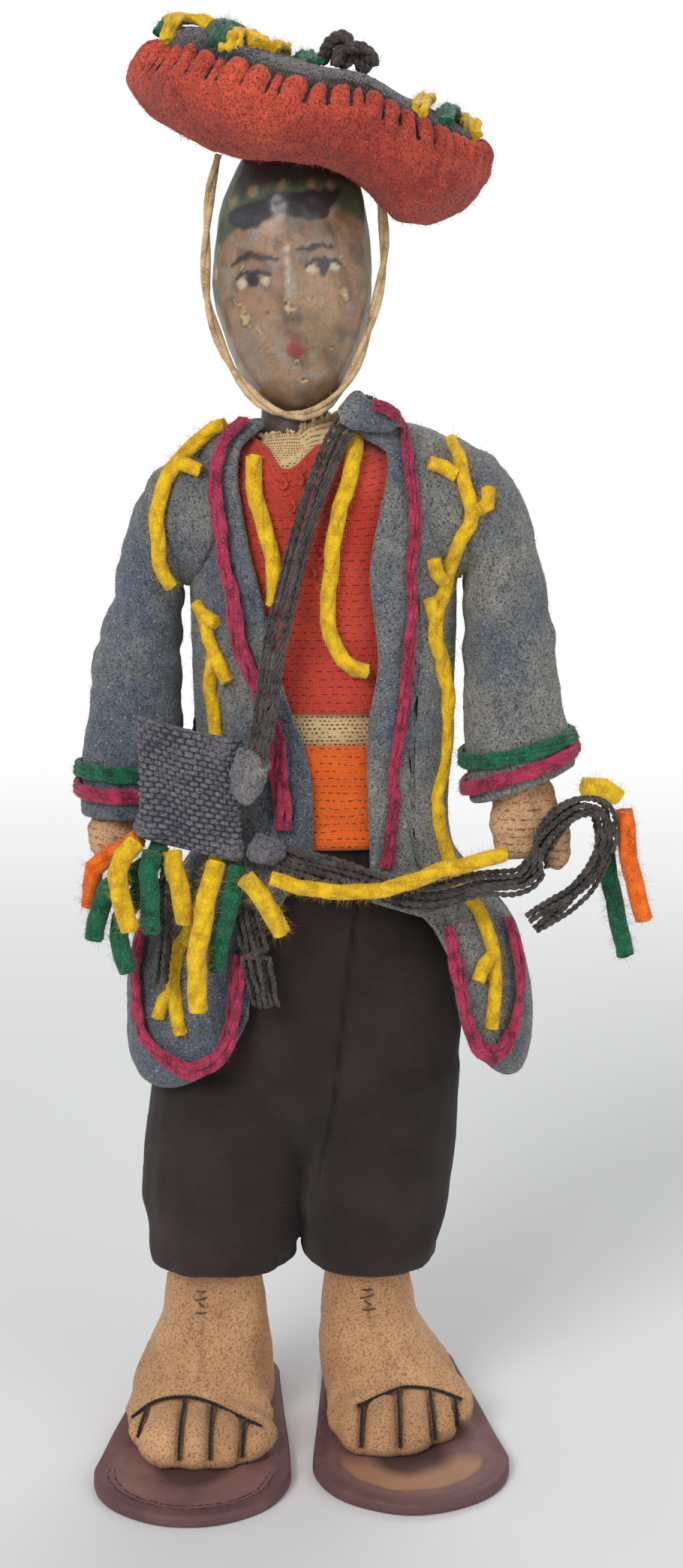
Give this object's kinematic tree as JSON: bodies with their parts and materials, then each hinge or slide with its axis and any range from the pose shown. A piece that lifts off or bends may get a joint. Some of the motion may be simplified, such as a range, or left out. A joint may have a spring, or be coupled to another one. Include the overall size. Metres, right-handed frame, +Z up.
{
  "type": "souvenir doll",
  "caption": "Standing cloth souvenir doll with a tilted felt hat, felt jacket with tails, woven bag and sling, on flat leather soles.",
  "frame": {"origin": "centre of the doll's footprint, on the surface that it stands on", "axes": "+Z up, the doll faces -Y, +X towards the doll's left hand"},
  "size_m": [0.1135, 0.0839, 0.2819],
  "materials": {
    "skin_cloth": "stretched tan stockinette, matt",
    "head_paint": "carved head, hand painted and varnished",
    "blue_felt": "thick heathered felt",
    "red_felt": "napped red felt",
    "red_knit": "coarse red knit",
    "burlap": "open plain weave",
    "orange_knit": "orange knit",
    "trouser_cloth": "dark fine twill",
    "sole_leather": "worn brown leather",
    "yellow_wool": "two-ply wool yarn",
    "green_wool": "two-ply wool yarn",
    "magenta_wool": "two-ply wool yarn",
    "orange_wool": "two-ply wool yarn",
    "dark_weave": "dark woven wool",
    "bag_weave": "chunky hand weave",
    "black_thread": "waxed thread",
    "tan_cord": "twisted cord",
    "brown_strands": "bundle of thin twisted strands",
    "wire": "drawn wire"
  },
  "bodies": {
    "body": {"torso": "skin_cloth", "shoulder_wire": "wire", "shirt": "burlap", "vest": "red_knit", "vest_yarn_right": "yellow_wool", "vest_yarn_left": "yellow_wool", "sash": "orange_knit", "trousers": "trouser_cloth", "jacket_front_right": "blue_felt", "jacket_front_left": "blue_felt", "jacket_back": "blue_felt", "lapel_yarn_right": "magenta_wool", "lapel_yarn_left": "magenta_wool", "sprig_right": "yellow_wool", "sprig_left": "yellow_wool", "tail_yarn_right": "magenta_wool", "tail_yarn_left": "magenta_wool", "leg_right": "skin_cloth", "leg_left": "skin_cloth", "foot_stitching_right": "black_thread", "foot_stitching_left": "black_thread", "sole_right": "sole_leather", "sole_left": "sole_leather", "bag_strap": "brown_strands", "sling": "brown_strands", "sling_yarn": "yellow_wool"},
    "head": {"head": "head_paint", "hat_underside": "red_felt", "hat_top": "dark_weave", "hat_yarn_1": "yellow_wool", "hat_yarn_2": "green_wool", "hat_yarn_3": "yellow_wool", "hat_yarn_4": "yellow_wool", "hat_yarn_5": "green_wool", "hat_knot": "dark_weave", "chin_cord": "tan_cord"},
    "right_arm": {"sleeve_right": "blue_felt", "arm_right": "skin_cloth", "cuff_green_right": "green_wool", "cuff_magenta_right": "magenta_wool", "sleeve_sprig_right": "yellow_wool"},
    "left_arm": {"sleeve_left": "blue_felt", "arm_left": "skin_cloth", "cuff_green_left": "green_wool", "cuff_magenta_left": "magenta_wool", "sling_loop": "brown_strands", "sling_tassel_orange": "orange_wool", "sling_tassel_green": "green_wool", "sling_tassel_yellow": "yellow_wool"},
    "bag": {"bag": "bag_weave", "bag_knot": "bag_weave", "bag_fringe": "brown_strands", "bag_tassel_1": "orange_wool", "bag_tassel_2": "green_wool", "bag_tassel_3": "yellow_wool", "bag_tassel_4": "green_wool", "bag_tassel_5": "yellow_wool", "bag_tassel_6": "yellow_wool", "bag_tassel_7": "green_wool", "bag_tassel_8": "yellow_wool"}
  },
  "joints": [
    {"name": "head_turn", "type": "hinge", "parent": "body", "child": "head", "pos_m": [-0.0061, -0.001, 0.2], "axis": [0, 0, 1], "range_deg": [-25, 25]},
    {"name": "right_arm_swing", "type": "hinge", "parent": "body", "child": "right_arm", "pos_m": [-0.0299, -0.001, 0.1895], "axis": [-1, 0, 0], "range_deg": [-28, 6]},
    {"name": "left_arm_swing", "type": "hinge", "parent": "body", "child": "left_arm", "pos_m": [0.0291, -0.001, 0.1895], "axis": [-1, 0, 0], "range_deg": [-12, 25], "deforming": ["sling", "sling_yarn"]},
    {"name": "bag_swing", "type": "hinge", "parent": "body", "child": "bag", "pos_m": [-0.0112, -0.0235, 0.1543], "axis": [-1, 0, 0], "range_deg": [0, 20]}
  ]
}
